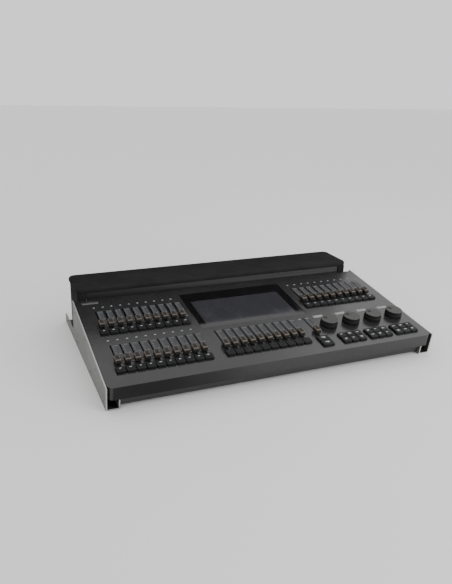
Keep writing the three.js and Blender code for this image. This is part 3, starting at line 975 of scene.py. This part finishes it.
# The rear sockets' centres in millimetres, across the desk from its left side and up from the
# table. The CAD plate has a raised collar with a blind hole at each.
XLR_SOCKETS = [(320 + 38 * k, 48) for k in range(4)]
NETWORK_SOCKETS = [(520, 48), (548, 48)]
USB_SOCKETS = [(580, 48), (604, 48)]
VIDEO_SOCKET = (636, 48)
POWER_INLET = (130, 50)
RATING_LABEL = (222, 52)
# How deep below the plate's outer face the sockets' contact faces lie, and their linings end.
SOCKET_DEPTH = 9.6
CUP_DEPTH = 9.95


def rear_place(u, z):
    """The frame of something on the rear plate's outer face: x left, y up, z out to the rear."""
    at = Vector((LEFT + u * MM, PLATE_REAR, z * MM))
    return Matrix.Translation(at) @ TURN_REAR @ Matrix.Scale(MM, 4)


def box_ring(width, height, radius, h):
    return rounded_ring(-width / 2, width / 2, -height / 2, height / 2, radius, h, 6)


def round_ring(like, radius, h):
    """A circle with a point in the direction of each point of another ring."""
    return [(radius * x / math.hypot(x, y), radius * y / math.hypot(x, y), h) for x, y, _ in like]


def block(shape, cu, cv, width, height, h0, h1, corner=0.3, edge=0.15, index=0):
    u0, v0 = cu - width / 2, cv - height / 2
    pillow(shape, u0, u0 + width, v0, v0 + height, h0, h1, corner, edge, index=index, steps=3)


def xlr_flange(shape):
    """A flat flange round the collar, with a latch tab and two screws in its corners."""
    outline = box_ring(31, 34, 2.6, 0)
    made = shape.loft([
        round_ring(outline, 14.1, 0), outline, box_ring(31, 34, 2.6, 1.2),
        box_ring(30.2, 33.2, 2.3, 1.6), round_ring(outline, 14.1, 1.6),
    ], ends=False)
    shape.bridge(made[-1], made[0])
    block(shape, 0, 13.6, 8, 3, 1.5, 4.4, 0.8, 0.4)
    for cu, cv in ((-12.3, 13.8), (12.3, -13.8)):
        head = ((1.9, 1.4), (1.9, 2.1), (1.4, 2.5))
        shape.loft([circle(radius, h, 14, cu, cv) for radius, h in head], 3)


def xlr_core(shape):
    """The lining of the collar, the plastic core at its bottom and five ringed contacts."""
    lining = (
        (11.9, -CUP_DEPTH), (11.9, 3.0), (12.9, 3.0), (12.9, 3.5),
        (11.6, 3.8), (11.2, 3.4), (11.2, -SOCKET_DEPTH),
    )
    shape.loft([circle(radius, h, 40) for radius, h in lining])
    shape.indices[-1] = 1
    contact = ((1.5, -0.3), (1.5, 0.5), (0.9, 0.5), (0.9, 0))
    for k in range(5):
        angle = math.radians(55 * (k - 2) - 90)
        cu, cv = 5.4 * math.cos(angle), 5.4 * math.sin(angle)
        shape.loft([circle(radius, h - SOCKET_DEPTH, 14, cu, cv) for radius, h in contact], 2)


def xlr_sockets():
    for number, (u, z) in enumerate(XLR_SOCKETS, 1):
        shape = Shape()
        xlr_flange(shape)
        xlr_core(shape)
        piece = shape.build(f"dmx_socket_{number}", [NICKEL, SOCKET_CORE, GOLD, SCREW], rear_place(u, z))
        belongs(piece, "desk", "socket_plate")


def shielded_cup(shape, width, height):
    """A sheet-metal shell round a socket's opening, closed at the back by its plastic core."""
    outer_width, outer_height = width - 0.1, height - 0.1
    inner_width, inner_height = width - 0.9, height - 0.9
    shape.loft([
        box_ring(outer_width, outer_height, 0.5, -CUP_DEPTH), box_ring(outer_width, outer_height, 0.5, 2.0),
        box_ring(width + 1.4, height + 1.4, 0.9, 2.0), box_ring(width + 1.4, height + 1.4, 0.9, 2.4),
        box_ring(inner_width, inner_height, 0.4, 2.4),
        box_ring(inner_width, inner_height, 0.4, -SOCKET_DEPTH),
    ])
    shape.indices[-1] = 1


def contacts(shape, count, pitch, cv, width, height, top):
    """A row of gold contacts."""
    for k in range(count):
        block(shape, (k - (count - 1) / 2) * pitch, cv, width, height, -SOCKET_DEPTH, top, 0.1, 0.05, 2)


def network_socket(shape):
    shielded_cup(shape, 16, 14)
    for side in (-1, 1):
        block(shape, 4.9 * side, -5.4, 3.4, 2.2, -SOCKET_DEPTH, -0.8, index=1)
    contacts(shape, 8, 1.02, 5.9, 0.42, 0.8, -1.6)
    for side in (-1, 1):
        block(shape, 6.2 * side, 5.4, 1.6, 1.2, -2.0, -0.3, 0.3, 0.1, 3)


def usb_socket(shape):
    shielded_cup(shape, 14, 16)
    block(shape, 0, 0, 12.8, 1.2, -SOCKET_DEPTH, -0.4)
    for cv in (-3.0, 5.0):
        block(shape, 0, cv, 11.0, 1.9, -SOCKET_DEPTH, -1.2, index=1)
        contacts(shape, 4, 2.3, cv - 1.05, 1.0, 0.3, -1.8)


def video_socket(shape):
    shielded_cup(shape, 17, 7)
    block(shape, 0, 0.6, 11.5, 1.4, -SOCKET_DEPTH, -1.0, index=1)
    contacts(shape, 9, 1.15, -0.25, 0.5, 0.3, -1.6)


def data_sockets():
    kinds = [(f"network_socket_{k}", network_socket, place) for k, place in enumerate(NETWORK_SOCKETS, 1)]
    kinds += [(f"usb_socket_{k}", usb_socket, place) for k, place in enumerate(USB_SOCKETS, 1)]
    kinds.append(("video_socket", video_socket, VIDEO_SOCKET))
    for name, fill, place in kinds:
        shape = Shape()
        fill(shape)
        materials = [NICKEL, SOCKET_CORE, GOLD, LABEL][:max(shape.indices) + 1]
        piece = shape.build(name, materials, rear_place(*place))
        belongs(piece, "desk", "socket_plate")


def power_inlet():
    """A recessed three-blade mains inlet in a plastic flange."""
    shape = Shape()
    shape.loft([
        box_ring(31.8, 25.8, 0.5, -CUP_DEPTH), box_ring(31.8, 25.8, 0.5, 2.0),
        box_ring(35.4, 29.4, 1.5, 2.0), box_ring(35.4, 29.4, 1.5, 2.8), box_ring(34.6, 28.6, 1.2, 3.3),
        box_ring(28, 21, 3.5, 3.3), box_ring(27.4, 20.4, 3.4, 2.8),
        box_ring(27.4, 20.4, 3.4, -SOCKET_DEPTH),
    ])
    for cu, cv in ((-7, -1.5), (7, -1.5), (0, 2.8)):
        block(shape, cu, cv, 2.0, 5.6, -SOCKET_DEPTH, -1.5, 0.5, 0.4, 1)
    piece = shape.build("power_inlet", [SOCKET_CORE, NICKEL], rear_place(*POWER_INLET))
    belongs(piece, "desk", "socket_plate")


def switch_bezel():
    """The frame round the power switch, clear of it on every side."""
    low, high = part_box("power_switch")
    width, height = (high.x - low.x) / MM, (high.z - low.z) / MM
    u, z = ((low.x + high.x) / 2 - LEFT) / MM, (low.z + high.z) / 2 / MM
    shape = Shape()
    made = shape.loft([
        box_ring(width + 1.2, height + 1.2, 0.6, 0), box_ring(width + 5, height + 5, 1.5, 0),
        box_ring(width + 5, height + 5, 1.5, 0.9), box_ring(width + 4.2, height + 4.2, 1.2, 1.3),
        box_ring(width + 1.2, height + 1.2, 0.6, 1.3),
    ], 0, False)
    shape.bridge(made[-1], made[0])
    belongs(shape.build("switch_bezel", [SOCKET_CORE], rear_place(u, z)), "desk", "socket_plate")


def rating_label():
    """A blank label between the inlet and the round sockets."""
    shape = Shape()
    stamp(shape, -24, 24, -13, 13, 0, 1.2, 0, 0.15, 4)
    belongs(shape.build("rating_label", [LABEL], rear_place(*RATING_LABEL)), "desk", "socket_plate")


def name_plate():
    """A blank plate in the face's left rear corner."""
    shape = Shape()
    pillow(shape, 17, 55, 318, 327, -0.5, 0.5, 1.2, 0.2)
    belongs(shape.build("name_plate_blank", [NAME_PLATE]), "desk", "panel_paint")


def hood_gasket():
    """A foam strip that closes the gap between the rear plate's crest and the hood's underside."""
    shape = Shape()
    left, right = PLATE_LOW.x / MM, PLATE_HIGH.x / MM
    rear, crest = PLATE_HIGH.y / MM, PLATE_HIGH.z / MM
    pillow(shape, left, right, rear - 2.6, rear + 0.6, crest - 2.2, crest + 0.6, 0.8, 0.2)
    belongs(shape.build("hood_gasket", [SOCKET_CORE], Matrix.Scale(MM, 4)), "desk", "hood_skin")


hood_gasket()
xlr_sockets()
data_sockets()
power_inlet()
switch_bezel()
rating_label()
name_plate()


# ---- camera, floor and light ---------------------------------------------------------------

CAMERA_PLACE = Vector((-0.5675, -1.1894, 0.5977))
CAMERA_YAW = math.radians(23.77)
CAMERA_PITCH = math.radians(20.19)
CAMERA_ROLL = math.radians(1.98)
FOCAL_LENGTH = 36.95
FLOOR_COLOUR = (0.86, 0.86, 0.855)


def add_camera():
    data = bpy.data.cameras.new("camera")
    data.sensor_fit = "AUTO"
    data.sensor_width = 36
    data.lens = FOCAL_LENGTH
    camera = bpy.data.objects.new("camera", data)
    forward = Vector((math.sin(CAMERA_YAW) * math.cos(CAMERA_PITCH),
                      math.cos(CAMERA_YAW) * math.cos(CAMERA_PITCH), -math.sin(CAMERA_PITCH)))
    level = Vector((math.cos(CAMERA_YAW), -math.sin(CAMERA_YAW), 0))
    upright = level.cross(forward)
    right = level * math.cos(CAMERA_ROLL) + upright * math.sin(CAMERA_ROLL)
    up = right.cross(forward)
    turn = Matrix((right, up, -forward)).transposed().to_4x4()
    camera.matrix_world = Matrix.Translation(CAMERA_PLACE) @ turn
    bpy.context.scene.collection.objects.link(camera)
    bpy.context.scene.camera = camera


def area_light(name, place, target, size, power):
    data = bpy.data.lights.new(name, "AREA")
    data.shape = "RECTANGLE"
    data.size, data.size_y = size
    data.energy = power
    light = bpy.data.objects.new(name, data)
    aim = (Vector(target) - Vector(place)).to_track_quat("-Z", "Y")
    light.matrix_world = Matrix.Translation(place) @ aim.to_matrix().to_4x4()
    bpy.context.scene.collection.objects.link(light)


def reflected_only(card):
    """Keeps a card out of the picture, the shadows and the bounced light."""
    card.visible_camera = False
    card.visible_shadow = False
    card.visible_diffuse = False


def flat_stage(name, corners, colour, roughness):
    """A plain card or floor, which isn't part of the desk."""
    mesh = bpy.data.meshes.new(name)
    mesh.from_pydata(corners, [], [(0, 1, 2, 3)])
    s = Surface(f"{name}_mat").set(Specular_IOR_Level=0.2)
    s.colour(s.mix(s.noise(3.0, 3), tuple(c * 0.985 for c in colour), colour))
    s.rough(s.remap(s.noise(8.0, 3), 0.3, 0.7, roughness - 0.04, roughness))
    mesh.materials.append(s.material)
    piece = bpy.data.objects.new(name, mesh)
    bpy.context.scene.collection.objects.link(piece)
    return piece


def graded_card():
    """A low card in front of the desk, dark at its left and pale at its right, that only
    reflections see: the left of the front band mirrors something dark in the photograph."""
    left, right, near, far, lift = LEFT + 0.004, 0.02, -0.45, -0.232, 0.002
    corners = [(left, near, lift), (right, near, lift), (right, far, lift), (left, far, lift)]
    card = flat_stage("front_card", corners, FLOOR_COLOUR, 0.7)
    s = Surface("front_card_graded").set(Specular_IOR_Level=0.2)
    split = s.nodes.new("ShaderNodeSeparateXYZ")
    s.links.new(s.place, split.inputs["Vector"])
    share = s.remap(split.outputs["X"], -0.24, -0.01, 0, 1)
    s.colour(s.mix(share, (0.02, 0.02, 0.02), FLOOR_COLOUR))
    card.data.materials[0] = s.material
    reflected_only(card)


def lid_card():
    """A dark upright card behind the desk, that only reflections see: the screen and the rear
    of the face mirror a dark lid in the photograph."""
    left, right, bottom, top, depth = -0.95, 0.52, 0.02, 0.382, 0.30
    corners = [(left, depth, bottom), (right, depth, bottom), (right, depth, top), (left, depth, top)]
    reflected_only(flat_stage("dark_card", corners, (0.012, 0.012, 0.013), 0.6))


def studio():
    reach = 9.0
    graded_card()
    corners = [(-reach, -reach, 0), (reach, -reach, 0), (reach, reach, 0), (-reach, reach, 0)]
    flat_stage("floor", corners, FLOOR_COLOUR, 0.7)
    lid_card()
    world = bpy.data.worlds.new("studio")
    world.use_nodes = True
    sky = world.node_tree.nodes["Background"]
    sky.inputs["Color"].default_value = (1.0, 1.0, 1.0, 1)
    sky.inputs["Strength"].default_value = 1.15
    bpy.context.scene.world = world
    area_light("key", (1.5, 0.9, 1.5), (0, 0, 0), (1.0, 1.0), 1.5)
    area_light("fill", (1.2, -1.8, 0.55), (0.15, -0.1, 0.05), (1.2, 0.8), 24)


add_camera()
studio()
